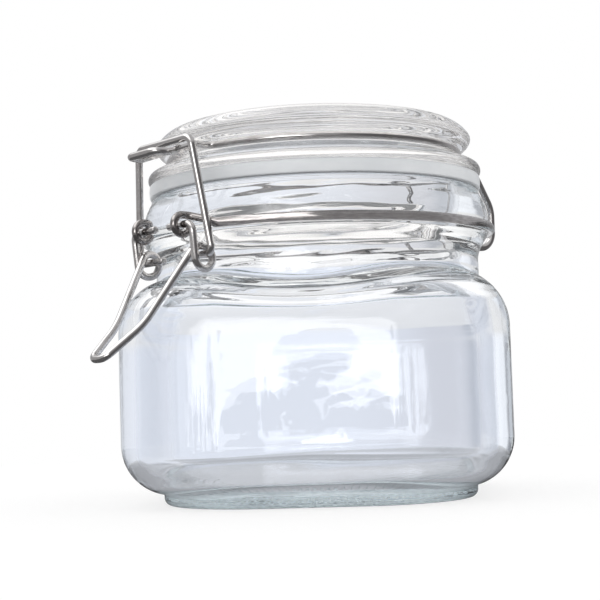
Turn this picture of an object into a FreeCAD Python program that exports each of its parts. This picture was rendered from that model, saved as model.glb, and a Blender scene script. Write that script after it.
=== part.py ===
import FreeCAD, Part
import math
import os

V = FreeCAD.Vector
os.makedirs("parts", exist_ok=True)

# Millimetres. Latch at -Y, hinge at +Y, Z up, origin on the jar's axis at the base plane.

# Jar body
BODY_HALF = 52.6
BODY_CORNER = 31.0
BODY_TURN = 45.0
SHOULDER_Z = 61.0
SHOULDER_ROUND = 15.5
HEEL_ROUND = 13.5
WALL = 4.0
FLOOR = 6.5
FOOT_HALF = 42.7
FOOT_CORNER = 29.0
FOOT_H = 3.2
FOOT_ROUND = 2.0

# Neck and rim
BORE_R = 41.0
NECK_WALL = 4.7
BEAD_OUT = 3.2
BEAD_START = 5.0
BEAD_LEAN = 0.4
BEAD_HOLLOW = 0.3
NECK_CROWN = 0.6
RING_UP = 12.6
RIM_UP = 24.0
RIM_ROUND = 1.6
MOUTH_ROUND = 1.2
NECK_FILLET = 2.0

# Gasket
GASKET_H = 3.8
GASKET_INNER = 1.0
GASKET_OVERHANG = 0.4
GASKET_ROUND = 0.8

# Glass lid
LID_FLANGE_H = 3.4
LID_FLANGE_OUT = 0.6
FLANGE_TOP_IN = 1.4
FLANGE_FOOT_IN = 0.7
FLANGE_BULGE = 1.1
LID_GROOVE_UP = 6.6
LID_WIRE_IN = 6.1
LID_EDGE_IN = 2.35
LID_EDGE_UP = 4.4
LID_EDGE_BULGE = 0.6
LID_H = 15.4
LID_TOP_R = 35.0
LID_CROWN = 1.75
LIP_CLEAR = 1.2
LIP_DEPTH = 0.6
LIP_W = 4.4
LIP_ROUND = 1.0
LID_CEILING = 6.0
CEILING_R = 18.0
CEILING_CROWN = 1.6

# Wires
WIRE_D = 2.0
SEAT_GAP = 0.25
BEND = 2.5
EASY_BEND = 5.0

# Neck wire: hinge bar behind, eyes in front
HINGE_OUT = 2.1
JOG_X = 17.0
JOG_LEAVE = 26.0
EYE_X = 9.0
EYE_OUT = 4.0
EYE_DROP = 0.2
EYE_R = 2.5
EYE_SWEEP = 250.0
EYE_TAIL = 0.2
EYE_LEAVE = 32.0
EYE_LIFT_FROM = 11.0
EYE_LIFT_BEND = 7.5

# Lid wire: nose in front, hinge legs behind
NOSE_X = 6.5
NOSE_LEAVE = 18.0
NOSE_FLAT = 5.0
NOSE_SLOPE = 0.34
NOSE_DIP_OUT = 2.8
NOSE_LENGTH = 7.2
LEG_X = 14.0
LEG_LEAVE = 28.0
LEG_TOP_OUT = 1.0
LEG_TOP_DOWN = 1.9
LEG_OUT = 7.6
LEG_UP = 9.9
LEG_KINK_BEND = 8.0
HOOK_GAP = 0.2
HOOK_RISE = 0.8

# Lever
PIN_END_X = 3.0
PIN_BEND = 2.25
STRAND_X = 13.4
COIL_R = 3.0
COIL_PITCH = 2.1
COIL_TURN = 325.0
CRANK_IN = 3.9
CRANK_DOWN = 7.9
HOOK_LIFT = 0.7
LEVER_CLEAR = 0.6
KNEE_DOWN = 25.6
KNEE_X = 6.5
KNEE_BEND = 24.0
TIP_OUT = 9.8
TIP_DOWN = 8.5
TIP_X = 3.0

# Bail
BAIL_FOOT_X = 16.6
BAIL_FOOT_BEND = 2.0
BAIL_END_X = 5.2
BAR_X = 12.0
BAR_IN = 1.2
BAR_GAP = 0.4

# What follows from them
WIRE_R = WIRE_D / 2
NECK_R = BORE_R + NECK_WALL
BEAD_R = NECK_R + BEAD_OUT
RIM_R = NECK_R + GASKET_INNER
RING_R = BEAD_R - WIRE_R
RING_Z = SHOULDER_Z + RING_UP
RIM_Z = SHOULDER_Z + RIM_UP
LID_Z = RIM_Z + GASKET_H
FLANGE_R = RIM_R + LID_FLANGE_OUT
LID_WIRE_R = FLANGE_R - LID_WIRE_IN
LID_WIRE_Z = LID_Z + LID_GROOVE_UP
LID_EDGE_R = FLANGE_R - LID_EDGE_IN
LID_EDGE_Z = LID_WIRE_Z + LID_EDGE_UP
LID_TOP_Z = LID_Z + LID_H
SEAT_R = WIRE_R + SEAT_GAP
HINGE_Y = BEAD_R + HINGE_OUT
HINGE_Z = RING_Z
EYE_Y = BEAD_R + EYE_OUT
EYE_Z = RING_Z - EYE_DROP
HOOK_Y = EYE_Y - CRANK_IN
HOOK_Z = EYE_Z - CRANK_DOWN
COIL_Z = HOOK_Z - HOOK_LIFT
BAR_Y = EYE_Y - BAR_IN
NOSE_KNEE_Y = LID_WIRE_R + NOSE_FLAT
NOSE_DIP_Y = BAR_Y + NOSE_DIP_OUT
NOSE_END_Y = BAR_Y + NOSE_LENGTH
NOSE_DIP_Z = LID_WIRE_Z - NOSE_SLOPE * (NOSE_DIP_Y - NOSE_KNEE_Y)
NOSE_UNDER_BAR_Z = LID_WIRE_Z - NOSE_SLOPE * (BAR_Y - NOSE_KNEE_Y)
BAR_Z = NOSE_UNDER_BAR_Z + WIRE_D * math.sqrt(1 + NOSE_SLOPE ** 2) + BAR_GAP


def save(shape, name):
    """Keep one piece as its own file."""
    shape.exportStep("parts/" + name + ".step")
    print(name, "valid", shape.isValid(), "solids", len(shape.Solids), "volume", round(shape.Volume, 1))


def front(x, out, z):
    """A point at a distance out from the axis on the latch side."""
    return V(x, -out, z)


def line(a, b):
    return Part.LineSegment(a, b).toShape()


def arc(a, b, c):
    return Part.Arc(a, b, c).toShape()


def bowed(x0, z0, x1, z1, bow):
    """An arc in the XZ plane whose middle stands off its chord by bow, to the left of the way from 0 to 1."""
    run = V(x1 - x0, 0, z1 - z0)
    side = V(-run.z, 0, run.x).normalize()
    middle = V((x0 + x1) / 2, 0, (z0 + z1) / 2) + side * bow
    return arc(V(x0, 0, z0), middle, V(x1, 0, z1))


def rounded_square(half, corner, z0, z1):
    """A square prism with round corners, turned to the body's angle."""
    k = half - corner
    edges = []
    for i in range(4):
        a = math.radians(90 * i)
        turn = lambda x, y: V(x * math.cos(a) - y * math.sin(a), x * math.sin(a) + y * math.cos(a), z0)
        c = k + corner * math.sqrt(0.5)
        edges.append(line(turn(half, -k), turn(half, k)))
        edges.append(arc(turn(half, k), turn(c, c), turn(k, half)))
    face = Part.Face(Part.Wire(edges))
    solid = face.extrude(V(0, 0, z1 - z0))
    solid.rotate(V(0, 0, 0), V(0, 0, 1), BODY_TURN)
    return solid


def edges_at(shape, z):
    """The edges that lie in one level plane."""
    return [e for e in shape.Edges if abs(e.BoundBox.ZMin - z) < 1e-6 and abs(e.BoundBox.ZMax - z) < 1e-6]


def on_cylinder(edge, radius):
    """Whether an edge keeps one distance from the axis."""
    spots = edge.discretize(5)
    return all(abs(math.hypot(p.x, p.y) - radius) < 1e-3 for p in spots)


def turned(edges):
    """A solid turned about Z from a closed profile in the XZ plane."""
    return Part.Face(Part.Wire(edges)).revolve(V(0, 0, 0), V(0, 0, 1), 360)


def path_of(points):
    """Straight runs joined by tangent arcs: each point is (place, bend radius)."""
    edges = []
    last = points[0][0]
    for i in range(1, len(points) - 1):
        p, r = points[i]
        a = (p - points[i - 1][0]).normalize()
        b = (points[i + 1][0] - p).normalize()
        turn = math.acos(max(-1.0, min(1.0, a.dot(b))))
        t = r * math.tan(turn / 2)
        start = p - a * t
        end = p + b * t
        inward = (b - a).normalize()
        middle = p + inward * (r / math.cos(turn / 2) - r)
        if (start - last).dot(a) < -1e-4:
            print("bend too wide at", i, p, round((start - last).dot(a), 3))
        if (start - last).Length > 1e-4:
            edges.append(line(last, start))
        else:
            start = last
        edges.append(arc(start, middle, end))
        last = end
    edges.append(line(last, points[-1][0]))
    return Part.Wire(edges)


def wire_along(points):
    """One round wire bent along the points."""
    path = path_of(points)
    begin = points[0][0]
    heading = points[1][0] - begin
    ring = Part.Wire(Part.Circle(begin, heading, WIRE_R).toShape())
    solid = path.makePipeShell([ring], True, False)
    wanted = math.pi * WIRE_R ** 2 * path.Length
    print("wire length", round(path.Length, 1), "volume share", round(solid.Volume / wanted, 4))
    return solid


def mirrored(points):
    """The other half of a wire that is the same on both sides of X = 0."""
    return [(V(-p.x, p.y, p.z), r) for p, r in reversed(points)]


def round_corners(radius, z, start, end, steps):
    """Corners of the outline round a circle, angles from +Y towards +X, bent at the circle's radius."""
    width = (end - start) / steps
    reach = radius / math.cos(math.radians(width / 2))
    out = []
    for i in range(steps):
        a = math.radians(start + width * (i + 0.5))
        out.append((V(reach * math.sin(a), reach * math.cos(a), z), radius))
    return out


def on_tangent(radius, angle, x):
    """Where the line that leaves a circle at an angle from +Y reaches a given x, as a y."""
    a = math.radians(angle)
    return radius * math.cos(a) + (radius * math.sin(a) - x) * math.tan(a)


# Jar body: foot, body and neck in one glass, hollowed out
body = rounded_square(BODY_HALF, BODY_CORNER, FOOT_H, SHOULDER_Z)
body = body.makeFillet(HEEL_ROUND, edges_at(body, FOOT_H))
body = body.makeFillet(SHOULDER_ROUND, edges_at(body, SHOULDER_Z))
foot = rounded_square(FOOT_HALF, FOOT_CORNER, 0, FOOT_H + FOOT_ROUND)
foot = foot.makeFillet(FOOT_ROUND, edges_at(foot, 0))
mid_z = (FOOT_H + SHOULDER_Z) / 2
bead_low = SHOULDER_Z + BEAD_START
bead_mid = RING_Z - 2 * WIRE_R
bead_top = RING_Z + 2 * WIRE_R
rim_edge = RIM_Z - RIM_ROUND
c45 = RIM_ROUND * math.sqrt(0.5)
neck = turned([
    line(V(0, 0, mid_z), V(NECK_R, 0, mid_z)),
    line(V(NECK_R, 0, mid_z), V(NECK_R, 0, bead_low)),
    bowed(NECK_R, bead_low, BEAD_R - BEAD_LEAN, bead_mid, BEAD_HOLLOW),
    line(V(BEAD_R - BEAD_LEAN, 0, bead_mid), V(BEAD_R, 0, bead_top)),
    bowed(BEAD_R, bead_top, RIM_R, rim_edge, -NECK_CROWN),
    arc(V(RIM_R, 0, rim_edge), V(RIM_R - RIM_ROUND + c45, 0, rim_edge + c45), V(RIM_R - RIM_ROUND, 0, RIM_Z)),
    line(V(RIM_R - RIM_ROUND, 0, RIM_Z), V(0, 0, RIM_Z)),
    line(V(0, 0, RIM_Z), V(0, 0, mid_z)),
])
outside = body.fuse(foot).fuse(neck).removeSplitter()
joint = [e for e in outside.Edges if on_cylinder(e, NECK_R) and e.BoundBox.ZMax < SHOULDER_Z + 1e-3]
outside = outside.makeFillet(NECK_FILLET, joint)
hollow = rounded_square(BODY_HALF - WALL, BODY_CORNER - WALL, FLOOR, SHOULDER_Z - WALL)
hollow = hollow.makeFillet(HEEL_ROUND - WALL, edges_at(hollow, FLOOR))
hollow = hollow.makeFillet(SHOULDER_ROUND - WALL, edges_at(hollow, SHOULDER_Z - WALL))
bore = Part.makeCylinder(BORE_R, RIM_Z - mid_z, V(0, 0, mid_z))
glass = outside.cut(hollow.fuse(bore))
groove = Part.makeTorus(RING_R, SEAT_R, V(0, 0, RING_Z))
glass = glass.cut(groove)
mouth = [e for e in edges_at(glass, RIM_Z) if abs(e.BoundBox.XLength - 2 * BORE_R) < 1e-3]
glass = glass.makeFillet(MOUTH_ROUND, mouth)
save(glass, "jar_body")

# Neck wire: ring in the neck's groove, hinge bar behind, an open eye each side of the latch
half = [(V(JOG_X, HINGE_Y, HINGE_Z), BEND), (V(JOG_X, on_tangent(RING_R, JOG_LEAVE, JOG_X), RING_Z), BEND)]
half += round_corners(RING_R, RING_Z, JOG_LEAVE, 180 - EYE_LEAVE, 4)
a = math.radians(EYE_LEAVE)
leave = V(RING_R * math.sin(a), -RING_R * math.cos(a), RING_Z)
along = V(-math.cos(a), -math.sin(a), 0)
half.append((leave + along * EYE_LIFT_FROM, EYE_LIFT_BEND))
turn_in = leave + along * ((leave.x - EYE_X) / math.cos(a))
half.append((V(EYE_X, turn_in.y, EYE_Z + EYE_R), BEND))
share = EYE_SWEEP / 4
reach = EYE_R / math.cos(math.radians(share / 2))
for i in range(4):
    b = math.radians(90 - share * (i + 0.5))
    half.append((front(EYE_X, EYE_Y + reach * math.cos(b), EYE_Z + reach * math.sin(b)), EYE_R))
b = math.radians(90 - EYE_SWEEP)
tail = V(0, -math.sin(b), -math.cos(b))
end = front(EYE_X, EYE_Y + EYE_R * math.cos(b), EYE_Z + EYE_R * math.sin(b))
half.append((end + tail * EYE_TAIL, 0))
save(wire_along(mirrored(half) + half), "neck_wire")

# Glass lid: domed disc with a grooved edge, a flange over the gasket and a lip into the mouth
lip_r = BORE_R - LIP_CLEAR
lip_in = lip_r - LIP_W
lip_z = RIM_Z - LIP_DEPTH
flange_z = LID_Z + LID_FLANGE_H
ceiling_z = LID_TOP_Z - LID_CEILING
lid = turned([
    line(V(0, 0, LID_TOP_Z), V(LID_TOP_R, 0, LID_TOP_Z)),
    bowed(LID_TOP_R, LID_TOP_Z, LID_EDGE_R, LID_EDGE_Z, LID_CROWN),
    bowed(LID_EDGE_R, LID_EDGE_Z, LID_WIRE_R + SEAT_R, LID_WIRE_Z + SEAT_R, LID_EDGE_BULGE),
    line(V(LID_WIRE_R + SEAT_R, 0, LID_WIRE_Z + SEAT_R), V(LID_WIRE_R, 0, LID_WIRE_Z + SEAT_R)),
    bowed(LID_WIRE_R, LID_WIRE_Z + SEAT_R, LID_WIRE_R, LID_WIRE_Z - SEAT_R, -SEAT_R),
    line(V(LID_WIRE_R, 0, LID_WIRE_Z - SEAT_R), V(FLANGE_R - FLANGE_TOP_IN, 0, flange_z)),
    bowed(FLANGE_R - FLANGE_TOP_IN, flange_z, FLANGE_R - FLANGE_FOOT_IN, LID_Z, FLANGE_BULGE),
    line(V(FLANGE_R - FLANGE_FOOT_IN, 0, LID_Z), V(lip_r, 0, LID_Z)),
    line(V(lip_r, 0, LID_Z), V(lip_r, 0, lip_z)),
    line(V(lip_r, 0, lip_z), V(lip_in, 0, lip_z)),
    line(V(lip_in, 0, lip_z), V(lip_in, 0, flange_z)),
    bowed(lip_in, flange_z, CEILING_R, ceiling_z, -CEILING_CROWN),
    line(V(CEILING_R, 0, ceiling_z), V(0, 0, ceiling_z)),
    line(V(0, 0, ceiling_z), V(0, 0, LID_TOP_Z)),
])
lid = lid.makeFillet(LIP_ROUND, edges_at(lid, lip_z))
save(lid, "glass_lid")

# Gasket: flat rubber ring on the rim
gasket = Part.makeCylinder(RIM_R + GASKET_OVERHANG, GASKET_H, V(0, 0, RIM_Z))
gasket = gasket.cut(Part.makeCylinder(BORE_R + GASKET_INNER, GASKET_H, V(0, 0, RIM_Z)))
round_edges = edges_at(gasket, RIM_Z) + edges_at(gasket, LID_Z)
save(gasket.makeFillet(GASKET_ROUND, round_edges), "gasket")

# Lid wire: hook under the hinge bar, leg, ring in the lid's groove, then the nose
hook_r = WIRE_D + HOOK_GAP
half = [(V(LEG_X, HINGE_Y - hook_r, HINGE_Z + HOOK_RISE), 0)]
half.append((V(LEG_X, HINGE_Y - hook_r, HINGE_Z - hook_r), hook_r))
half.append((V(LEG_X, HINGE_Y + LEG_OUT, HINGE_Z - hook_r), EASY_BEND))
half.append((V(LEG_X, HINGE_Y + LEG_OUT, HINGE_Z + LEG_UP), LEG_KINK_BEND))
half.append((V(LEG_X, HINGE_Y + LEG_TOP_OUT, LID_WIRE_Z - LEG_TOP_DOWN), EASY_BEND))
half.append((V(LEG_X, on_tangent(LID_WIRE_R, LEG_LEAVE, LEG_X), LID_WIRE_Z), BEND))
half += round_corners(LID_WIRE_R, LID_WIRE_Z, LEG_LEAVE, 180 - NOSE_LEAVE, 4)
half.append((front(NOSE_X, on_tangent(LID_WIRE_R, NOSE_LEAVE, NOSE_X), LID_WIRE_Z), BEND))
half.append((front(NOSE_X, NOSE_KNEE_Y, LID_WIRE_Z), EASY_BEND))
half.append((front(NOSE_X, NOSE_DIP_Y, NOSE_DIP_Z), EASY_BEND))
half.append((front(NOSE_X, NOSE_END_Y, NOSE_DIP_Z), BEND))
save(wire_along(half + mirrored(half)), "lid_wire")

# Lever: pin in the eye, strand, coil, then the finger handle
gap = V(0, EYE_Y - HOOK_Y, EYE_Z - COIL_Z)
bearing = math.degrees(math.atan2(gap.z, gap.y)) - math.degrees(math.acos(COIL_R / gap.Length))
half = [(front(PIN_END_X, EYE_Y, EYE_Z), 0), (front(STRAND_X, EYE_Y, EYE_Z), PIN_BEND)]
share = COIL_TURN / 5
reach = COIL_R / math.cos(math.radians(share / 2))
for i in range(5):
    b = math.radians(bearing - share * (i + 0.5))
    x = STRAND_X - COIL_PITCH * (i + 0.5) / 5
    half.append((front(x, HOOK_Y + reach * math.cos(b), COIL_Z + reach * math.sin(b)), COIL_R))
leg_x = (STRAND_X - COIL_PITCH + KNEE_X) / 2
corner_out = (BODY_HALF - BODY_CORNER) * math.sqrt(2) + math.sqrt(BODY_CORNER ** 2 - leg_x ** 2)
round_out = corner_out - SHOULDER_ROUND
round_z = SHOULDER_Z - SHOULDER_ROUND
pass_r = SHOULDER_ROUND + WIRE_R + LEVER_CLEAR
centres = V(0, round_out - HOOK_Y, round_z - COIL_Z)
slant = math.atan2(centres.z, centres.y) - math.acos((pass_r - COIL_R) / centres.Length)
leave_out = HOOK_Y - COIL_R * math.cos(slant)
leave_z = COIL_Z - COIL_R * math.sin(slant)
knee_z = EYE_Z - KNEE_DOWN
knee = front(KNEE_X, leave_out + (leave_z - knee_z) * math.tan(slant), knee_z)
tip = knee + V(TIP_X - KNEE_X, -TIP_OUT, -TIP_DOWN)
half += [(knee, KNEE_BEND), (tip, TIP_X)]
save(wire_along(half + mirrored(half)), "lever")

# Bail: hook through the coil, leg up, bar over the nose
half = [(front(BAIL_END_X, HOOK_Y, HOOK_Z), 0), (front(BAIL_FOOT_X, HOOK_Y, HOOK_Z), BAIL_FOOT_BEND)]
half.append((front(BAR_X, BAR_Y, BAR_Z), BEND))
save(wire_along(half + mirrored(half)), "bail")

print("hinge", HINGE_Y, HINGE_Z, "eye", EYE_Y, EYE_Z, "hook", HOOK_Y, HOOK_Z, "bar", BAR_Y, BAR_Z)
print("rim", RIM_Z, "lid", LID_Z, "top", LID_TOP_Z, "flange", FLANGE_R, "lid wire", LID_WIRE_R, LID_WIRE_Z)
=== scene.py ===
import math
import bpy
import numpy as np
from mathutils import Matrix


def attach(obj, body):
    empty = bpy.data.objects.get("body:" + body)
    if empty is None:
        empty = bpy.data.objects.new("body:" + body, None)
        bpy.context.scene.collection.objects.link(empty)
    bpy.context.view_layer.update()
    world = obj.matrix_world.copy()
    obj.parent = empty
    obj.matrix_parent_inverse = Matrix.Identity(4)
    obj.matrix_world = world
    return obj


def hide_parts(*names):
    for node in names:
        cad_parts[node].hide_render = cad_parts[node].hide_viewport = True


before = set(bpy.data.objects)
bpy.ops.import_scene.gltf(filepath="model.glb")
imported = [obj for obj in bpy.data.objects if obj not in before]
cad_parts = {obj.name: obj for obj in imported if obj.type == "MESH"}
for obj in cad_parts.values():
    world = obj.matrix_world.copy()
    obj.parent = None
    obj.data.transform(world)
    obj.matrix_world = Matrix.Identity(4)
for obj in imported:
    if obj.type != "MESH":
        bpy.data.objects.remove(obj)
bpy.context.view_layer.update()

MM = 0.001


# Jar body: one piece of clear pressed glass, a rounded-square body on a smaller stippled foot, with a
# round neck that carries a bead and the groove for the neck wire. The wall is thick, and it is wavy,
# most of all inside, where air and not the mould gave it its shape.
body_half, body_corner, wall, floor_z = 52.6, 31.0, 4.0, 6.5
shoulder_z, shoulder_round, heel_round, floor_crown = 61.0, 15.5, 13.5, 0.5
foot_half, foot_corner, foot_h, foot_round, push_up = 42.7, 29.0, 3.2, 2.0, 0.9
neck_r, bead_r, rim_r, bore_r = 45.7, 48.9, 46.7, 41.0
neck_ring_r, neck_ring_z, seat_r = 47.9, 73.6, 1.25
bead_rise, bead_bow, bead_half, band_hollow = 5.0, 0.3, 2.0, 0.6
groove_half, groove_depth = 0.96, 2.05
rim_z, rim_round, mouth_round = 85.0, 1.6, 1.2
jar_columns = 224
# The jar's skin tint is clear glass with a lavender that is painted light, the room's colour seen through
# it.
jar_clear_and_painted_lavender, jar_depth_tint, jar_density = (0.94, 0.953, 0.98, 1), (0.76, 0.85, 0.87, 1), 8.0
# The foot's darker, greyer skin is painted shade.
jar_foot_side_z, jar_foot_painted_shade = 0.0036, (0.5, 0.54, 0.56, 1)
# The neck's neutral skin is painted light, the colour of the light from above.
jar_neck_light_z, jar_neck_painted_light = 0.068, (0.972, 0.97, 0.972, 1)


class Shade:
    """One output of a shader node: arithmetic on it adds Math nodes, and add() puts in any other node."""

    def __init__(self, tree, socket=None):
        self.tree = tree
        self.socket = socket

    def add(self, kind, settings=None, sockets=None, out=0):
        """A node of a kind: its settings first, then a value or a link for each socket."""
        node = self.tree.nodes.new(kind)
        for key, value in (settings or {}).items():
            setattr(node, key, value)
        for key, value in (sockets or {}).items():
            if isinstance(value, Shade):
                self.tree.links.new(value.socket, node.inputs[key])
            else:
                node.inputs[key].default_value = value
        return Shade(self.tree, node.outputs[out] if len(node.outputs) else None)

    def maths(self, operation, a, b=0.0):
        """One Math node."""
        return self.add("ShaderNodeMath", {"operation": operation}, {0: a, 1: b})

    def __add__(self, other):
        return self.maths("ADD", self, other)

    def __radd__(self, other):
        return self.maths("ADD", other, self)

    def __sub__(self, other):
        return self.maths("SUBTRACT", self, other)

    def __rsub__(self, other):
        return self.maths("SUBTRACT", other, self)

    def __mul__(self, other):
        return self.maths("MULTIPLY", self, other)

    def __rmul__(self, other):
        return self.maths("MULTIPLY", other, self)

    def step(self, low, high):
        """Rises smoothly from 0 at low to 1 at high."""
        values = {"Value": self, "From Min": low, "From Max": high}
        return self.add("ShaderNodeMapRange", {"interpolation_type": "SMOOTHSTEP"}, values)

    def blend(self, factor, a, b):
        """Colour a where the factor is 0, b where it is 1."""
        return self.add("ShaderNodeMix", {"data_type": "RGBA"}, {0: factor, 6: a, 7: b}, 2)

    def noise(self, place, scale, detail, roughness):
        """Cloudy noise about 0.5, its grains 1 / scale apart."""
        values = {"Vector": place, "Scale": scale, "Detail": detail, "Roughness": roughness}
        return self.add("ShaderNodeTexNoise", None, values)

    def axis(self, place, number):
        """One coordinate of a place: 0 for x, 1 for y, 2 for z."""
        return self.add("ShaderNodeSeparateXYZ", None, {0: place}, number)

    def vector(self, operation, a, b=(0.0, 0.0, 0.0), out=0):
        """One Vector Math node: out 0 is its vector, out 1 its number."""
        return self.add("ShaderNodeVectorMath", {"operation": operation}, {0: a, 1: b}, out)


def new_finish(name):
    """An empty material and the start of its nodes."""
    finish = bpy.data.materials.new(name)
    finish.use_nodes = True
    finish.node_tree.nodes.clear()
    return finish, Shade(finish.node_tree)


def closed_grid(name, points, poles=True):
    """A skin over a grid of points in millimetres: rows by columns, the columns joined round.
    With poles the first and last rows shrink to a point each; without, the last row joins the first."""
    rows, columns = points.shape[:2]
    spot = np.arange(rows * columns).reshape(rows, columns)
    beside = np.roll(spot, -1, axis=1)
    places = points.reshape(-1, 3)
    if poles:
        quads = np.stack([spot[:-1], beside[:-1], beside[1:], spot[1:]], axis=-1).reshape(-1, 4)
        ends = np.stack([points[0].mean(axis=0), points[-1].mean(axis=0)])
        places = np.concatenate([places, ends])
        first = np.full(columns, rows * columns)
        fans = np.concatenate([
            np.stack([first, beside[0], spot[0]], axis=-1),
            np.stack([first + 1, spot[-1], beside[-1]], axis=-1),
        ])
    else:
        above = np.roll(spot, -1, axis=0)
        quads = np.stack([spot, beside, np.roll(beside, -1, axis=0), above], axis=-1).reshape(-1, 4)
        fans = np.zeros((0, 3), int)
    mesh = bpy.data.meshes.new(name)
    mesh.vertices.add(len(places))
    mesh.vertices.foreach_set("co", (places * MM).ravel())
    corners = np.concatenate([quads.ravel(), fans.ravel()])
    sizes = np.concatenate([np.full(len(quads), 4), np.full(len(fans), 3)])
    mesh.loops.add(len(corners))
    mesh.loops.foreach_set("vertex_index", corners.astype(np.int32))
    mesh.polygons.add(len(sizes))
    mesh.polygons.foreach_set("loop_start", (np.cumsum(sizes) - sizes).astype(np.int32))
    mesh.polygons.foreach_set("use_smooth", np.ones(len(sizes), bool))
    mesh.update(calc_edges=True)
    mesh.validate()
    piece = bpy.data.objects.new(name, mesh)
    bpy.context.scene.collection.objects.link(piece)
    return piece


def straight(x0, z0, x1, z1, count):
    """Points of a straight profile run, its last point left to the next run."""
    t = np.arange(count) / count
    return np.stack([x0 + (x1 - x0) * t, z0 + (z1 - z0) * t], axis=-1)


def bowed(x0, z0, x1, z1, bow, count):
    """Points of a profile arc whose middle stands off its chord by bow, to the left on the way from 0 to 1.
    The radius is (chord / 2 squared + bow squared) / (2 bow), and the points go evenly round it."""
    run = np.array([x1 - x0, z1 - z0])
    chord = np.hypot(*run)
    left = np.array([-run[1], run[0]]) / chord
    radius = (chord * chord / 4 + bow * bow) / (2 * bow)
    centre = np.array([x0 + x1, z0 + z1]) / 2 + left * (bow - radius)
    half = math.atan2(chord / 2, radius - bow) if bow > 0 else -math.atan2(chord / 2, bow - radius)
    angle = half * (2 * np.arange(count) / count - 1)[:, None]
    return centre + radius * (left * np.cos(angle) + run / chord * np.sin(angle))


def outline(half, corner, angle):
    """Distance from the axis to a rounded square whose flats face 45 degrees from X and Y.
    With a the angle from the nearest flat's middle it is half / cos(a) on the flat, and on the corner
    the ray's far crossing with the corner circle."""
    a = np.abs(np.mod(angle, np.pi / 2) - np.pi / 4)
    k = half - corner
    flat = half / np.cos(a)
    lean = k * (np.cos(a) - np.sin(a))
    rounded = k * (np.cos(a) + np.sin(a)) + np.sqrt(np.maximum(corner ** 2 - lean ** 2, 0))
    return np.where(half * np.tan(a) <= k, flat, rounded)


def depth_inside(half, corner, angle, radius):
    """How far a point at a radius lies inside that rounded square."""
    a = np.abs(np.mod(angle, np.pi / 2) - np.pi / 4)
    qx = radius * np.cos(a) - (half - corner)
    qy = radius * np.sin(a) - (half - corner)
    return corner - np.hypot(np.maximum(qx, 0), np.maximum(qy, 0)) - np.minimum(np.maximum(qx, qy), 0)


def softened(points, first, last, passes):
    """Rows from first to last, each made a quarter of the row before, half of itself and a quarter of
    the row after, pass by pass, which rounds a corner between them."""
    for _ in range(passes):
        middle = points[first:last]
        points[first:last] = (points[first - 1:last - 1] + 2 * middle + points[first + 1:last + 1]) / 4
    return points


def outward(points):
    """Unit normals of a grid: the step along the columns crossed with the step along the rows."""
    along = np.roll(points, -1, axis=1) - np.roll(points, 1, axis=1)
    normal = np.cross(along, np.gradient(points, axis=0))
    return normal / np.maximum(np.linalg.norm(normal, axis=-1, keepdims=True), 1e-9)


def waves(angle, way, seed, turns, pitch, count=14):
    """Sum of cosine waves, each with a whole number of turns round the axis, its own pitch along the
    profile and its own random phase, divided by the root of their count so that it is about 1 high."""
    rng = np.random.default_rng(seed)
    total = 0
    for _ in range(count):
        m = rng.integers(turns[0], turns[1] + 1)
        total = total + np.cos(m * angle + 2 * np.pi * way / rng.uniform(*pitch) + rng.uniform(0, 6.3))
    return total / math.sqrt(count)


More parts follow.
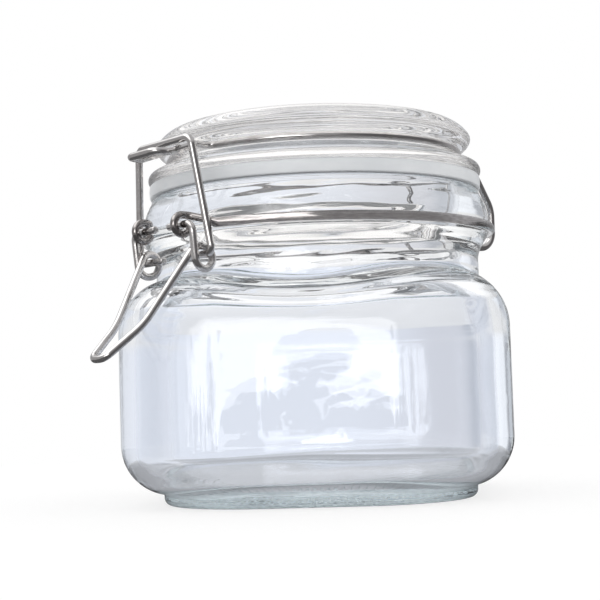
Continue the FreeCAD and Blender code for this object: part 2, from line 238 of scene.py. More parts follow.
def jar_points():
    """The jar's skin row by row: underside, foot, heel arc, wall, shoulder arc, neck, bead, groove and rim,
    then the bore, inner shoulder, inner wall, inner heel and floor. Each row gives a radius and a height
    for every column. Waves along the normal then make it uneven."""
    angle = np.linspace(0, 2 * np.pi, jar_columns, endpoint=False)
    flat = np.ones(jar_columns)
    rows = []
    marks = {}

    def put(mark, radius, height):
        """Rows of a radius and a height, with a mark at the first."""
        marks[mark] = sum(len(r) for r in rows)
        radius, height = np.broadcast_arrays(radius, height)
        rows.append(np.stack([radius * flat, height * flat], axis=-1))

    def square(mark, half, corner, inset, height):
        """Rows of a rounded square whose sides are drawn in by an inset."""
        put(mark, outline(half - inset, corner - inset, angle), height)

    def turned(mark, run):
        """Rows of a profile run turned about the axis."""
        put(mark, run[:, :1], run[:, 1:])

    def shares(count):
        """Even shares from 0 up to 1, without the 1, one to a row."""
        return np.linspace(0, 1, count, endpoint=False)[:, None]

    share = shares(16)[1:]
    bottom = outline(foot_half - foot_round, foot_corner - foot_round, angle)
    put("underside", share * bottom, push_up * (1 - share ** 2) ** 2)
    phi = shares(8) * np.pi / 2
    inset = foot_round * (1 - np.sin(phi))
    square("foot round", foot_half, foot_corner, inset, foot_round * (1 - np.cos(phi)))
    foot_r = outline(foot_half, foot_corner, angle)
    under = np.clip(depth_inside(body_half, body_corner, angle, foot_r), 0, heel_round)
    begin = np.arcsin(1 - under / heel_round)
    joint_z = foot_h + heel_round * (1 - np.cos(begin))
    put("foot wall", foot_r, foot_round + (joint_z - foot_round) * shares(5))
    phi = begin + (np.pi / 2 - begin) * shares(34)
    inset = heel_round * (1 - np.sin(phi))
    square("heel", body_half, body_corner, inset, foot_h + heel_round * (1 - np.cos(phi)))
    wall_low, wall_top = foot_h + heel_round, shoulder_z - shoulder_round
    square("wall", body_half, body_corner, 0, wall_low + (wall_top - wall_low) * shares(24))
    above = np.clip(depth_inside(body_half, body_corner, angle, neck_r), 0, shoulder_round)
    end = np.arccos(1 - above / shoulder_round)
    phi = end * shares(52)
    inset = shoulder_round * (1 - np.cos(phi))
    square("shoulder", body_half, body_corner, inset, wall_top + shoulder_round * np.sin(phi))
    joint_z = wall_top + shoulder_round * np.sin(end)
    bead_low = shoulder_z + bead_rise
    put("neck", neck_r * flat, joint_z + (bead_low - joint_z) * shares(16))
    face_r, lip_low_r, lip_high_r = bead_r - 0.4, bead_r - 0.3, bead_r - 0.1
    face_low, face_high = neck_ring_z - bead_half, neck_ring_z + bead_half
    groove_low, groove_high = neck_ring_z - groove_half, neck_ring_z + groove_half
    turned("bead", bowed(neck_r, bead_low, face_r, face_low, bead_bow, 14))
    turned("bead face", straight(face_r, face_low, lip_low_r, groove_low, 4))
    turned("groove", bowed(lip_low_r, groove_low, lip_high_r, groove_high, -groove_depth, 18))
    turned("band face", straight(lip_high_r, groove_high, bead_r, face_high, 4))
    turned("band", bowed(bead_r, face_high, rim_r, rim_z - rim_round, -band_hollow, 22))
    phi = shares(7) * np.pi / 2
    put("rim", rim_r - rim_round * (1 - np.cos(phi)), rim_z - rim_round * (1 - np.sin(phi)))
    turned("rim top", straight(rim_r - rim_round, rim_z, bore_r + mouth_round, rim_z, 6))
    put("mouth", bore_r + mouth_round * (1 - np.sin(phi)), rim_z - mouth_round * (1 - np.cos(phi)))
    in_half, in_corner = body_half - wall, body_corner - wall
    in_shoulder, in_heel = shoulder_round - wall, heel_round - wall
    ceiling = np.clip(depth_inside(in_half, in_corner, angle, bore_r), 0, in_shoulder)
    end = np.arccos(1 - ceiling / in_shoulder)
    end_r = outline(in_half - ceiling, in_corner - ceiling, angle)
    end_z = wall_top + in_shoulder * np.sin(end)
    put("bore", bore_r * flat, rim_z - mouth_round + (end_z - rim_z + mouth_round) * shares(60))
    put("ceiling", bore_r + (end_r - bore_r) * shares(12), end_z)
    phi = end * (1 - shares(30))
    inset = in_shoulder * (1 - np.cos(phi))
    square("inner shoulder", in_half, in_corner, inset, wall_top + in_shoulder * np.sin(phi))
    square("inner wall", in_half, in_corner, 0, wall_top + (floor_z + in_heel - wall_top) * shares(26))
    phi = (1 - shares(22)) * np.pi / 2
    inset = in_heel * (1 - np.sin(phi))
    square("inner heel", in_half, in_corner, inset, floor_z + in_heel * (1 - np.cos(phi)))
    share = 1 - shares(14)
    floor_r = outline(in_half - in_heel, in_corner - in_heel, angle)
    put("floor", share * floor_r, floor_z + floor_crown * (1 - share ** 2))

    grid = np.concatenate(rows)
    points = np.stack([grid[..., 0] * np.cos(angle), grid[..., 0] * np.sin(angle), grid[..., 1]], axis=-1)
    points = softened(points, marks["heel"] - 4, marks["heel"] + 6, 6)
    points = softened(points, marks["neck"] - 6, marks["neck"] + 6, 14)
    points = softened(points, marks["bead"] - 3, marks["bead"] + 3, 4)
    points = softened(points, marks["groove"] - 2, marks["groove"] + 2, 1)
    points = softened(points, marks["band"] - 2, marks["band"] + 3, 3)
    points = softened(points, marks["ceiling"] - 10, marks["inner shoulder"] + 8, 30)
    points = softened(points, marks["inner wall"] - 9, marks["inner wall"] + 9, 40)

    steps = np.linalg.norm(np.diff(points, axis=0, prepend=points[:1]), axis=-1)
    way = np.cumsum(steps.mean(axis=1))[:, None]
    spot = np.arange(len(points))[:, None]

    def span(first, last, ramp):
        """1 on the rows between two marks, fading to 0 over a few rows inside each end."""
        low, high = marks[first], marks[last]
        return np.clip((spot - low) / ramp, 0, 1) * np.clip((high - spot) / ramp, 0, 1)

    # Where the waves are, their height in millimetres, seed, turns round the axis and pitch along the skin
    uneven = (
        (span("heel", "neck", 6), 0.015, 11, (1, 5), (18, 60)),
        (span("shoulder", "bead face", 10), 0.014, 12, (0, 3), (1.8, 4.5)),
        (span("band", "rim", 4), 0.016, 13, (0, 3), (1.8, 4.0)),
        (span("bore", "ceiling", 4), 0.035, 16, (0, 9), (2.2, 6.0)),
        (span("bore", "ceiling", 4), 0.016, 17, (0, 24), (1.8, 4.0)),
        (span("inner wall", "floor", 10), 0.028, 14, (1, 7), (14, 45)),
        (span("inner wall", "floor", 10), 0.004, 15, (2, 12), (5, 12)),
        (span("inner heel", "floor", 5), 0.10, 18, (0, 4), (4, 11)),
    )
    push = sum(where * height * waves(angle, way, *kind) for where, height, *kind in uneven)
    return points + outward(points) * push[..., None]


def glass_finish(name, tint, depth_tint, density, foot=None, neck=None):
    """Clear glass: full transmission, one tint in its skin and one in its depth, and a surface that noise
    makes a little uneven.
    The jar's skin tint carries a lavender that is painted light. A foot (its height and tint) gets pits all
    over its side, a darker skin there that is painted shade, and a ring of small notches under it, a sine
    wave round the axis. A neck (its height and tint) gets only its tint above that height, a neutral skin
    that is painted light."""
    finish, lay = new_finish(name)
    place = lay.add("ShaderNodeTexCoord", out=3)
    smear = lay.noise(place, 38.0, 3.0, 0.6)
    uneven = lay.noise(place, 140.0, 2.0, 0.5)
    height = uneven * 0.6 + smear * 0.4
    bump = lay.add("ShaderNodeBump", None, {"Strength": 0.04, "Distance": 0.0006, "Height": height})
    # Painted light: above the neck's height the skin turns neutral.
    if neck:
        neck_z, neck_light_tint = neck
        tint = lay.blend(lay.axis(place, 2).step(neck_z - 0.008, neck_z), tint, neck_light_tint)
    if foot:
        foot_z, foot_shade_tint = foot
        pits, notches = 900.0, 128.0
        side_in, ring_in = (0.0395, 0.0415), (0.0355, 0.0365)
        ring_out, ring_top = (0.0435, 0.0445), (0.0012, 0.002)
        x, y, up = (lay.axis(place, number) for number in range(3))
        across = lay.vector("LENGTH", lay.vector("MULTIPLY", place, (1, 1, 0)), out=1)
        side = (1 - up.step(foot_z * 0.7, foot_z)) * across.step(*side_in)
        pit = lay.add("ShaderNodeTexVoronoi", None, {"Vector": place, "Scale": pits})
        notch = lay.maths("SINE", lay.maths("ARCTAN2", y, x) * notches).step(0.1, 0.9)
        ring = across.step(*ring_in) * (1 - across.step(*ring_out)) * (1 - up.step(*ring_top))
        bump = lay.add("ShaderNodeBump", None, {
            "Strength": 0.3,
            "Distance": 0.0003,
            "Height": side * pit + ring * notch * 1.5,
            "Normal": bump,
        })
        # Painted shade: the foot's side gets a darker, greyer skin.
        tint = lay.blend(side, tint, foot_shade_tint)
    skin = lay.add("ShaderNodeBsdfPrincipled", None, {
        "Base Color": tint,
        "Roughness": smear.step(0.45, 0.8) * 0.02,
        "IOR": 1.5,
        "Transmission Weight": 1.0,
        "Normal": bump,
    })
    depth = lay.add("ShaderNodeVolumeAbsorption", None, {"Color": depth_tint, "Density": density})
    lay.add("ShaderNodeOutputMaterial", None, {"Surface": skin, "Volume": depth})
    return finish


jar_glass = closed_grid("jar_glass_body", jar_points())
jar_glass.data.materials.append(glass_finish(
    "pressed_jar_glass", jar_clear_and_painted_lavender, jar_depth_tint, jar_density,
    foot=(jar_foot_side_z, jar_foot_painted_shade), neck=(jar_neck_light_z, jar_neck_painted_light)))
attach(jar_glass, "jar")
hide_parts("jar_body")


# Neck wire: one length of drawn stainless wire, laid in the neck's groove, its tones darker than the others
# as painted shade in the groove. Behind, it is bent out into the straight bar that the lid's hooks turn on.
# In front, each end is curled into an open eye for the lever.
wire_r, wire_edge, bend, easy_bend = 1.0, 0.35, 2.5, 5.0
hinge_y, hinge_z, hinge_half = 51.0, 73.6, 17.0
neck_ring_from, neck_ring_to = 26.0, 148.0
run_out, run_bend, eye_end = 11.0, 7.5, 0.2
eye_x, eye_out, eye_z, eye_r, eye_sweep = 9.0, 52.9, 73.4, 2.5, 250.0


def turned_about(vectors, axis, angle):
    """Vectors turned about a unit axis: v cos + (axis x v) sin + axis (axis . v)(1 - cos)."""
    angle = np.asarray(angle)[..., None]
    lift = (vectors @ axis)[..., None] * axis
    return vectors * np.cos(angle) + np.cross(axis, vectors) * np.sin(angle) + lift * (1 - np.cos(angle))


def bent_line(corners, bends):
    """Centre line of a bent wire: straight runs, with an arc tangent to both runs at each corner.
    Each station also has its heading and a side direction, which turns with the arcs and never twists."""
    corners = np.asarray(corners, float)
    heads = np.diff(corners, axis=0)
    heads /= np.linalg.norm(heads, axis=1, keepdims=True)
    any_way = (0.31, 0.87, 0.38)
    spacing = 0.8
    side = np.cross(heads[0], any_way)
    side /= np.linalg.norm(side)
    last = corners[0]
    stations = []
    for i in range(1, len(corners) - 1):
        head = heads[i - 1]
        axis = np.cross(head, heads[i])
        turn = math.atan2(np.linalg.norm(axis), head @ heads[i])
        axis /= np.linalg.norm(axis)
        reach = bends[i] * math.tan(turn / 2)
        start = corners[i] - head * reach
        count = max(1, math.ceil((start - last) @ head / spacing))
        t = np.arange(count)[:, None] / count
        if (start - last) @ head > 1e-3:
            run = last + (start - last) * t
            stations.append(np.stack([run, head + 0 * run, side + 0 * run], axis=1))
        steps = 32 if bends[i] > 10 else 14
        angle = np.arange(steps) / steps * turn
        inward = np.cross(axis, head)
        arc = start + bends[i] * (inward + turned_about(-inward + 0 * angle[:, None], axis, angle))
        heading = turned_about(head + 0 * arc, axis, angle)
        stations.append(np.stack([arc, heading, turned_about(side + 0 * arc, axis, angle)], axis=1))
        side = turned_about(side, axis, turn)
        last = corners[i] + heads[i] * reach
    count = max(2, math.ceil(np.linalg.norm(corners[-1] - last) / spacing))
    run = last + (corners[-1] - last) * np.linspace(0, 1, count)[:, None]
    stations.append(np.stack([run, heads[-1] + 0 * run, side + 0 * run], axis=1))
    return np.concatenate(stations)


def bent_wire(name, corners, bends):
    """A round wire carried along its centre line: point + radius (side cos b + up sin b), b going round.
    Both ends are cut off and their edges broken. The attribute drawn holds (cos b, sin b, way along)."""
    line = bent_line(corners, bends)
    quarter = np.linspace(0, np.pi / 2, 5)
    first, last = quarter[:-1], quarter[1:]
    slide = np.zeros(len(line))
    slide[0], slide[-1] = 1, -1
    slide = np.concatenate([1 - np.cos(first), slide, np.sin(last) - 1]) * wire_edge
    swell = np.concatenate([np.sin(first), np.ones(len(line)), np.cos(last)])
    swell = wire_r - wire_edge * (1 - swell)
    line = np.concatenate([np.repeat(line[:1], 4, axis=0), line, np.repeat(line[-1:], 4, axis=0)])
    head, side = line[:, 1], line[:, 2]
    centre = line[:, 0] + head * slide[:, None]
    b = np.linspace(0, 2 * np.pi, 18, endpoint=False)
    up = np.cross(head, side)
    ring = side[:, None] * np.cos(b)[None, :, None] + up[:, None] * np.sin(b)[None, :, None]
    piece = closed_grid(name, centre[:, None] + ring * swell[:, None, None])
    way = np.cumsum(np.linalg.norm(np.diff(centre, axis=0, prepend=centre[:1]), axis=1))
    drawn = np.stack(np.broadcast_arrays(np.cos(b), np.sin(b), way[:, None]), axis=-1).reshape(-1, 3)
    drawn = np.concatenate([drawn, [(0, 0, way[0]), (0, 0, way[-1])]])
    layer = piece.data.attributes.new("drawn", "FLOAT_VECTOR", "POINT")
    layer.data.foreach_set("vector", drawn.ravel().astype(np.float32))
    return piece


def both_sides(half):
    """A wire's corners and bend radii from those of its half at +X, which ends on the middle plane."""
    half = np.asarray(half, float)
    whole = np.concatenate([half, half[::-1] * (-1, 1, 1, 1)])
    return whole[:, :3], whole[:, 3]


def round_corners(radius, z, start, end, steps):
    """Corners of the outline drawn round a circle, angles in degrees from +Y towards +X."""
    width = math.radians(end - start) / steps
    a = math.radians(start) + width * (np.arange(steps) + 0.5)
    reach = radius / math.cos(width / 2)
    return np.stack([reach * np.sin(a), reach * np.cos(a), z + 0 * a, radius + 0 * a], axis=-1)


def coil_corners(x, out, z, radius, start, sweep, steps):
    """Corners of the outline drawn round a circle that stands across X, its middle out towards -Y. It goes
    from a start in radians, measured from -Y towards +Z, back through a sweep in degrees."""
    width = math.radians(sweep) / steps
    b = start - width * (np.arange(steps) + 0.5)
    reach = radius / math.cos(width / 2)
    return np.stack([x + 0 * b, -out - reach * np.cos(b), z + reach * np.sin(b), radius + 0 * b], axis=-1)


def on_tangent(radius, angle, x):
    """The y at which the line that leaves a circle at an angle from +Y reaches an x."""
    a = math.radians(angle)
    return radius * math.cos(a) + (radius * math.sin(a) - x) * math.tan(a)


def steel_finish(name, dark, light):
    """Drawn stainless wire: fine streaks along its length from dark to light, and rubbed, dull places."""
    finish, lay = new_finish(name)
    drawn = lay.add("ShaderNodeAttribute", {"attribute_name": "drawn"}, None, 1)
    streak = lay.noise(lay.vector("MULTIPLY", drawn, (9.0, 9.0, 0.35)), 1.0, 4.0, 0.65)
    place = lay.add("ShaderNodeTexCoord", out=3)
    rub = lay.noise(place, 180.0, 3.0, 0.6).step(0.42, 0.72)
    tone = lay.blend(streak.step(0.3, 0.7), dark, light)
    tone = lay.blend(rub * 0.35, tone, (0.34, 0.31, 0.295, 1))
    bump = lay.add("ShaderNodeBump", None, {"Strength": 0.03, "Distance": 0.0001, "Height": streak})
    skin = lay.add("ShaderNodeBsdfPrincipled", None, {
        "Base Color": tone,
        "Metallic": 1.0,
        "Roughness": 0.08 + rub * 0.08 + streak * 0.05,
        "Normal": bump,
    })
    lay.add("ShaderNodeOutputMaterial", None, {"Surface": skin})
    return finish


# Painted shade: the neck wire's steel is darker than the rest, for the shade in its groove.
neck_wire_painted_shade_steel = steel_finish("drawn_steel_neck_wire_painted_shade", (0.27, 0.25, 0.245, 1), (0.42, 0.4, 0.39, 1))
half = [
    (hinge_half, hinge_y, hinge_z, bend),
    (hinge_half, on_tangent(neck_ring_r, neck_ring_from, hinge_half), hinge_z, bend),
]
half += list(round_corners(neck_ring_r, neck_ring_z, neck_ring_from, neck_ring_to, 4))
a = math.radians(180 - neck_ring_to)
leave = np.array([neck_ring_r * math.sin(a), -neck_ring_r * math.cos(a), neck_ring_z])
along = np.array([-math.cos(a), -math.sin(a), 0.0])
half.append((*(leave + along * run_out), run_bend))
turn_in = leave + along * ((leave[0] - eye_x) / math.cos(a))
half.append((eye_x, turn_in[1], eye_z + eye_r, bend))
half += list(coil_corners(eye_x, eye_out, eye_z, eye_r, math.pi / 2, eye_sweep, 4))
b = math.radians(90 - eye_sweep)
end = np.array([eye_x, -eye_out - eye_r * math.cos(b), eye_z + eye_r * math.sin(b)])
half.append((*(end + np.array([0, -math.sin(b), -math.cos(b)]) * eye_end), 0.0))
neck_wire = bent_wire("neck_wire_drawn", *both_sides(half[::-1]))
neck_wire.data.materials.append(neck_wire_painted_shade_steel)
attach(neck_wire, "jar")
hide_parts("neck_wire")


# Gasket: a flat moulded ring of pale rubber, pinched between the lid's flange and the jar's rim. It is a
# little wider than the rim, so its dull edge shows all round.
gasket_z, gasket_h, gasket_out, gasket_in, gasket_round = 85.0, 3.8, 47.1, 42.0, 0.8
gasket_wave, gasket_square = 0.05, 1.35


def gasket_points():
    """A rectangle with round corners turned about the axis, its rim pressed in and out by slow waves.
    The rectangle is a square's points, pushed past its sides and cut off there, plus a small circle."""
    angle = np.linspace(0, 2 * np.pi, 200, endpoint=False)
    centre_r, centre_z = (gasket_out + gasket_in) / 2, gasket_z + gasket_h / 2
    b = np.linspace(-np.pi / 2, 1.5 * np.pi, 48, endpoint=False) + 0.001
    c, s = np.cos(b), np.sin(b)
    reach_r = (gasket_out - gasket_in) / 2 - gasket_round
    reach_z = gasket_h / 2 - gasket_round
    stretch = 1 / np.maximum(np.abs(c), np.abs(s))
    px = np.clip(stretch * c * gasket_square, -1, 1) * reach_r + gasket_round * c
    pz = np.clip(stretch * s * gasket_square, -1, 1) * reach_z + gasket_round * s
    press = gasket_wave * np.maximum(c, 0)[:, None] * waves(angle, 0, 21, (2, 9), (9, 10))
    radius = centre_r + px[:, None] + press
    height = centre_z + pz[:, None] + 0 * angle
    return np.stack([radius * np.cos(angle), radius * np.sin(angle), height], axis=-1)


def rubber_finish(name):
    """Pale moulded rubber: milky and dull, cloudy in patches, with a fine grain."""
    finish, lay = new_finish(name)
    place = lay.add("ShaderNodeTexCoord", out=3)
    cloud = lay.noise(place, 60.0, 3.0, 0.6)
    grain = lay.noise(place, 2200.0, 2.0, 0.6)
    tone = lay.blend(cloud.step(0.3, 0.7), (0.66, 0.68, 0.70, 1), (0.74, 0.755, 0.77, 1))
    height = grain + cloud * 0.5
    bump = lay.add("ShaderNodeBump", None, {"Strength": 0.25, "Distance": 0.0001, "Height": height})
    skin = lay.add("ShaderNodeBsdfPrincipled", None, {
        "Base Color": tone,
        "Roughness": 0.38 + grain * 0.2,
        "Normal": bump,
    })
    lay.add("ShaderNodeOutputMaterial", None, {"Surface": skin})
    return finish


gasket = closed_grid("gasket_ring", gasket_points(), poles=False)
gasket.data.materials.append(rubber_finish("pale_rubber"))
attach(gasket, "lid")
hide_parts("gasket")


# Glass lid: one pressed disc of clear glass, without the painted lavender of the jar's skin. Its flange
# sits on the gasket, a groove above it takes the lid wire, and a short lip inside the mouth keeps it
# centred.
lid_top_z, lid_top_r, lid_edge_r, lid_edge_z = 104.2, 35.0, 44.95, 99.8
lid_ring_r, lid_ring_z = 41.2, 95.4
flange_z, flange_top_r, flange_foot_r, lid_z = 92.2, 45.9, 46.6, 88.8
lip_r, lip_in, lip_z, lip_round = 39.8, 35.4, 84.4, 1.0
ceiling_r, ceiling_z = 18.0, 98.2
crown_bow, edge_bow, flange_bow, ceiling_bow = 1.75, 0.6, 1.1, 1.6
lid_columns = 224
lid_tint, lid_depth_tint, lid_density = (0.975, 0.97, 0.965, 1), (0.88, 0.87, 0.86, 1), 9.0


def lid_points():
    """The lid's profile turned about the axis: from the top's middle out over the edge, round the groove,
    down the flange, in to the lip and up under the ceiling. Waves along the normal then make the top and
    the ceiling uneven. The rows go the other way, from the ceiling's middle."""
    low, high = lid_ring_z - seat_r, lid_ring_z + seat_r
    b = np.linspace(0, np.pi / 2, 6, endpoint=False)
    fall, swing = lip_round * (1 - np.sin(b)), lip_round * (1 - np.cos(b))
    runs = {
        "top": straight(0, lid_top_z, lid_top_r, lid_top_z, 22)[1:],
        "crown": bowed(lid_top_r, lid_top_z, lid_edge_r, lid_edge_z, crown_bow, 26),
        "edge": bowed(lid_edge_r, lid_edge_z, lid_ring_r + seat_r, high, edge_bow, 14),
        "groove top": straight(lid_ring_r + seat_r, high, lid_ring_r, high, 5),
        "groove": bowed(lid_ring_r, high, lid_ring_r, low, -seat_r + 1e-6, 16),
        "groove foot": straight(lid_ring_r, low, flange_top_r, flange_z, 16),
        "flange": bowed(flange_top_r, flange_z, flange_foot_r, lid_z, flange_bow, 16),
        "seat": straight(flange_foot_r, lid_z, lip_r, lid_z, 12),
        "lip": straight(lip_r, lid_z, lip_r, lip_z + lip_round, 8),
        "lip round": np.stack([lip_r - swing, lip_z + fall], axis=-1),
        "lip foot": straight(lip_r - lip_round, lip_z, lip_in + lip_round, lip_z, 5),
        "back round": np.stack([lip_in + fall, lip_z + swing], axis=-1),
        "lip back": straight(lip_in, lip_z + lip_round, lip_in, flange_z, 12),
        "ceiling bow": bowed(lip_in, flange_z, ceiling_r, ceiling_z, -ceiling_bow, 24),
        "ceiling": straight(ceiling_r, ceiling_z, 0, ceiling_z, 12),
    }
    run = np.concatenate(list(runs.values()))[::-1]
    edges = dict(zip(runs, len(run) - np.cumsum([len(r) for r in runs.values()])))
    angle = np.linspace(0, 2 * np.pi, lid_columns, endpoint=False)
    radius, height = run[:, :1], run[:, 1:]
    points = np.stack([radius * np.cos(angle), radius * np.sin(angle), height + 0 * angle], axis=-1)
    points = softened(points, edges["top"] - 4, edges["top"] + 5, 10)
    points = softened(points, edges["crown"] - 4, edges["crown"] + 4, 3)
    points = softened(points, edges["flange"] - 3, edges["flange"] + 3, 3)
    points = softened(points, edges["seat"] - 2, edges["seat"] + 3, 2)
    points = softened(points, edges["ceiling bow"] - 4, edges["ceiling bow"] + 4, 6)
    points = softened(points, edges["lip back"] - 3, edges["lip back"] + 4, 4)
    way = np.cumsum(np.linalg.norm(np.diff(run, axis=0, prepend=run[:1]), axis=1))[:, None]
    spot = np.arange(len(run))[:, None]
    above = np.clip((spot - edges["edge"]) / 8, 0, 1) * np.clip((len(run) - spot) / 10, 0, 1)
    inside = np.clip((edges["lip back"] - spot) / 8, 0, 1) * np.clip(spot / 8, 0, 1)
    # Where, height, seed, turns and pitch, as for the jar
    uneven = (
        (above, 0.032, 31, (1, 6), (12, 40)),
        (above, 0.006, 32, (0, 2), (2.2, 5.0)),
        (inside, 0.025, 33, (1, 5), (10, 30)),
    )
    push = sum(where * height * waves(angle, way, *kind) for where, height, *kind in uneven)
    return points + outward(points) * push[..., None]


lid_glass = closed_grid("lid_glass_disc", lid_points())
lid_glass.data.materials.append(glass_finish("pressed_lid_glass", lid_tint, lid_depth_tint, lid_density))
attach(lid_glass, "lid")
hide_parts("glass_lid")


# Lid wire: one length of bright drawn wire sprung into the lid's groove. In front it is bent out into a
# flat nose for the bail to bear on. Behind, its two legs go down and hook under the neck wire's bar.
bar_out, bar_z = 51.7, 96.04
nose_x, nose_knee, nose_slope = 6.5, 46.2, 0.34
nose_dip, nose_end = bar_out + 2.8, bar_out + 7.2
nose_low = lid_ring_z - nose_slope * (nose_dip - nose_knee)
leg_x, hook_r, leg_y = 14.0, 2.2, hinge_y + 7.6
hook_tip_z, leg_top_z, leg_bend = hinge_z + 0.8, hinge_z + 9.9, 8.0
lean_y, lean_z = hinge_y + 1.0, lid_ring_z - 1.9
lid_ring_from, lid_ring_to = 28.0, 162.0

half = [
    (leg_x, hinge_y - hook_r, hook_tip_z, 0.0),
    (leg_x, hinge_y - hook_r, hinge_z - hook_r, hook_r),
    (leg_x, leg_y, hinge_z - hook_r, easy_bend),
    (leg_x, leg_y, leg_top_z, leg_bend),
    (leg_x, lean_y, lean_z, easy_bend),
    (leg_x, on_tangent(lid_ring_r, lid_ring_from, leg_x), lid_ring_z, bend),
]
half += list(round_corners(lid_ring_r, lid_ring_z, lid_ring_from, lid_ring_to, 4))
half += [
    (nose_x, -on_tangent(lid_ring_r, 180 - lid_ring_to, nose_x), lid_ring_z, bend),
    (nose_x, -nose_knee, lid_ring_z, easy_bend),
    (nose_x, -nose_dip, nose_low, easy_bend),
    (nose_x, -nose_end, nose_low, bend),
]
lid_wire = bent_wire("lid_wire_drawn", *both_sides(half))
steel = steel_finish("drawn_steel_wire", (0.55, 0.535, 0.53, 1), (0.72, 0.705, 0.695, 1))
lid_wire.data.materials.append(steel)
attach(lid_wire, "lid")
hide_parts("lid_wire")


# Lever: one length of the bright wire, both ends turned in through the neck wire's eyes as pins. Each
# strand goes down to a coil that holds the bail, and the two meet in the bent finger handle.
hook_out, hook_z, coil_z, coil_r, coil_turn = 49.0, 65.5, 64.8, 3.0, 325.0
strand_x, coil_pitch, pin_end, pin_bend = 13.4, 2.1, 3.0, 2.25
knee_x, knee_z, knee_bend, leg_gap = 6.5, eye_z - 25.6, 24.0, 0.6
tip_x, tip_out, tip_drop = 3.0, 9.8, 8.5

rise = np.array([eye_out - hook_out, eye_z - coil_z])
bearing = math.atan2(rise[1], rise[0]) - math.acos(coil_r / np.hypot(*rise))
half = [(pin_end, -eye_out, eye_z, 0.0), (strand_x, -eye_out, eye_z, pin_bend)]
coil_x = strand_x - coil_pitch * (np.arange(5) + 0.5) / 5
half += list(coil_corners(coil_x, hook_out, coil_z, coil_r, bearing, coil_turn, 5))
leg_mid_x = (strand_x - coil_pitch + knee_x) / 2
corner_out = (body_half - body_corner) * math.sqrt(2) + math.sqrt(body_corner ** 2 - leg_mid_x ** 2)
over = np.array([corner_out - shoulder_round - hook_out, shoulder_z - shoulder_round - coil_z])
pass_r = shoulder_round + wire_r + leg_gap
slant = math.atan2(over[1], over[0]) - math.acos((pass_r - coil_r) / np.hypot(*over))
leave_out = hook_out - coil_r * math.cos(slant)
leave_z = coil_z - coil_r * math.sin(slant)
knee_out = leave_out + (leave_z - knee_z) * math.tan(slant)
half += [
    (knee_x, -knee_out, knee_z, knee_bend),
    (tip_x, -knee_out - tip_out, knee_z - tip_drop, tip_x),
]
lever = bent_wire("lever_drawn", *both_sides(half))
lever.data.materials.append(steel)
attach(lever, "lever")
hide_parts("lever")


# Bail: one length of the bright wire, both feet turned in through the lever's coils. Its legs lean in as
# they rise to the straight bar that holds the nose down.
foot_end, foot_x, foot_bend, bar_half = 5.2, 16.6, 2.0, 12.0

half = [
    (foot_end, -hook_out, hook_z, 0.0),
    (foot_x, -hook_out, hook_z, foot_bend),
    (bar_half, -bar_out, bar_z, bend),
]
bail = bent_wire("bail_drawn", *both_sides(half))
bail.data.materials.append(steel)
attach(bail, "bail")
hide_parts("bail")


# Floor and surroundings: a small white table, a white room behind, and a greyer room with one soft window
# on the side that the picture is taken from. Steel mirrors a darker table and room, and the glass shows a
# greyer table, darker near the jar as painted shade. Only light, nothing that is part of the object.
toward, rightward = (-0.7604, 0.6494, 0.0), (0.6494, 0.7604, 0.0)
table_rows, table_z = np.array([2.0, 80.0, 180.0, 300.0])[:, None], -0.01
table_light, table_dark = (0.3, 0.3, 0.3, 1), (0.1, 0.1, 0.1, 1)

b = np.linspace(0, 2 * np.pi, 96, endpoint=False)
disc = np.stack(np.broadcast_arrays(table_rows * np.cos(b), table_rows * np.sin(b), table_z), axis=-1)
table = bpy.data.meshes.new("table_top")
spot = np.arange(disc[..., 0].size).reshape(disc.shape[:2])
beside = np.roll(spot, -1, axis=1)
faces = np.stack([spot[:-1], spot[1:], beside[1:], beside[:-1]], axis=-1).reshape(-1, 4)
table.from_pydata((disc * MM).reshape(-1, 3).tolist(), [], faces.tolist() + [spot[0].tolist()])
floor_top = bpy.data.objects.new("table_top", table)
bpy.context.scene.collection.objects.link(floor_top)
finish, lay = new_finish("white_table")
glossy_ray = lay.add("ShaderNodeLightPath", out=3)
matt = lay.add("ShaderNodeBsdfDiffuse", None, {"Color": lay.blend(glossy_ray, table_light, table_dark)})
through_ray = lay.add("ShaderNodeLightPath", out=6)
dim = lay.blend(glossy_ray, (1, 1, 1, 1), (0.05, 0.05, 0.055, 1))
place = lay.add("ShaderNodeTexCoord", out=3)
away = lay.vector("LENGTH", place, out=1)
# Painted shade: seen through the glass, the table is darker near the jar and paler farther out.
through_glass_painted_shade = lay.blend(away.step(0.06, 0.28), (0.5, 0.51, 0.535, 1), (0.86, 0.88, 0.92, 1))
dim = lay.blend(through_ray, dim, through_glass_painted_shade)
glow = lay.add("ShaderNodeEmission", None, {"Color": dim, "Strength": 0.74})
both = lay.add("ShaderNodeAddShader", None, {0: matt, 1: glow})
lay.add("ShaderNodeOutputMaterial", None, {"Surface": both})
table.materials.append(finish)

world = bpy.data.worlds.new("white_room")
bpy.context.scene.world = world
world.use_nodes = True
world.node_tree.nodes.clear()
world.cycles.sampling_method = "NONE"
lay = Shade(world.node_tree)
way = lay.add("ShaderNodeTexCoord", out=0)
back = lay.vector("DOT_PRODUCT", way, toward, out=1)
right = lay.vector("DOT_PRODUCT", way, rightward, out=1)
up = lay.axis(way, 2)
cloud = lay.noise(lay.vector("MULTIPLY", way, (1.0, 1.0, 1.3)), 15.0, 5.0, 0.5)
# The window, ragged at its edges, with a bank of cloud in it
near = 1 - back.step(-0.45, 0.05)
ragged = right + cloud * 0.22 - 0.11
left = (ragged - up * 0.6).step(-0.74, -0.62) * (1 - (ragged + up * 0.6).step(0.0, 0.07))
low = 1 - (up + cloud * 0.3).step(0.46, 0.64)
clear = (up * 6.0 + cloud * 2.6).step(1.24, 1.28)
wide = (right + 0.16) * 24.0
tall = (up - 0.03) * 52.0
bank = 1 - (wide * wide + tall * tall + cloud * 4.0).step(2.7, 2.95)
sky = near * left * low * clear * (1 - bank)
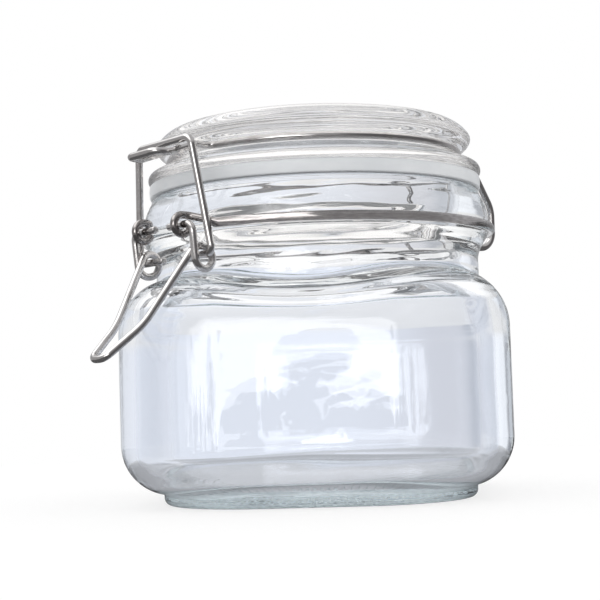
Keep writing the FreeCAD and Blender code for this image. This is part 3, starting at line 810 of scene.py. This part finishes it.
# What the glass shows: pale zones from left to right behind, greyer in front, bright above
far = lay.blend(right.step(0.0, 0.14), (0.89, 0.92, 0.985, 1), (0.77, 0.78, 0.825, 1))
far = lay.blend(right.step(0.2, 0.32), far, (0.55, 0.575, 0.625, 1))
far = lay.blend(right.step(0.45, 0.58), far, (1.05, 1.08, 1.13, 1))
far = lay.blend(up.step(0.07, 0.15), far, (0.92, 0.915, 0.91, 1))
seen = lay.blend(back.step(-0.2, 0.5), (0.52, 0.525, 0.54, 1), far)
seen = lay.blend(up.step(0.15, 0.5), seen, (1.2, 1.19, 1.18, 1))
# What the steel and the glass skin mirror: grey, darker to the right, with a light above on the left
shine = lay.blend(right.step(0.1, 0.6), (0.42, 0.415, 0.42, 1), (0.15, 0.145, 0.15, 1))
shine = lay.blend(back.step(0.2, 0.8), shine, (0.46, 0.46, 0.47, 1))
top_light = lay.blend(right.step(-0.4, 0.05), (2.3, 2.3, 2.3, 1), (0.6, 0.6, 0.61, 1))
shine = lay.blend(up.step(0.42, 0.72), shine, top_light)
# Each kind of ray gets its own room; the camera sees plain white
through_ray = lay.add("ShaderNodeLightPath", out=6)
tone = lay.blend(through_ray, shine, seen)
tone = lay.blend(sky, tone, (3.7, 3.7, 3.7, 1))
camera_ray = lay.add("ShaderNodeLightPath", out=0)
diffuse_ray = lay.add("ShaderNodeLightPath", out=2)
tone = lay.blend(diffuse_ray, tone, (0.95, 0.95, 0.95, 1))
tone = lay.blend(camera_ray, tone, (1, 1, 1, 1))
room = lay.add("ShaderNodeBackground", None, {"Color": tone, "Strength": 1.0})
lay.add("ShaderNodeOutputWorld", None, {"Surface": room})


# Camera: 0.4 m from the jar's axis and about 50 degrees round to the right of the latch, level with the
# jar's lower half and tipped up a little.
camera_place, focal = (0.30381, -0.25942, 0.02831), 84.16
camera_turn, camera_tip, camera_roll = (math.radians(angle) for angle in (50.253, 93.929, -1.88))

lens = bpy.data.cameras.new("front_right")
lens.lens = focal
lens.sensor_width = 36.0
lens.clip_start = 0.01
camera = bpy.data.objects.new("front_right", lens)
bpy.context.scene.collection.objects.link(camera)
turn = Matrix.Rotation(camera_turn, 4, "Z") @ Matrix.Rotation(camera_tip, 4, "X")
turn = turn @ Matrix.Rotation(camera_roll, 4, "Z")
camera.matrix_world = Matrix.Translation(camera_place) @ turn
bpy.context.scene.camera = camera
bpy.context.scene.cycles.max_bounces = 32
bpy.context.scene.cycles.glossy_bounces = 24
bpy.context.scene.cycles.transmission_bounces = 32
bpy.context.scene.view_settings.view_transform = "Standard"
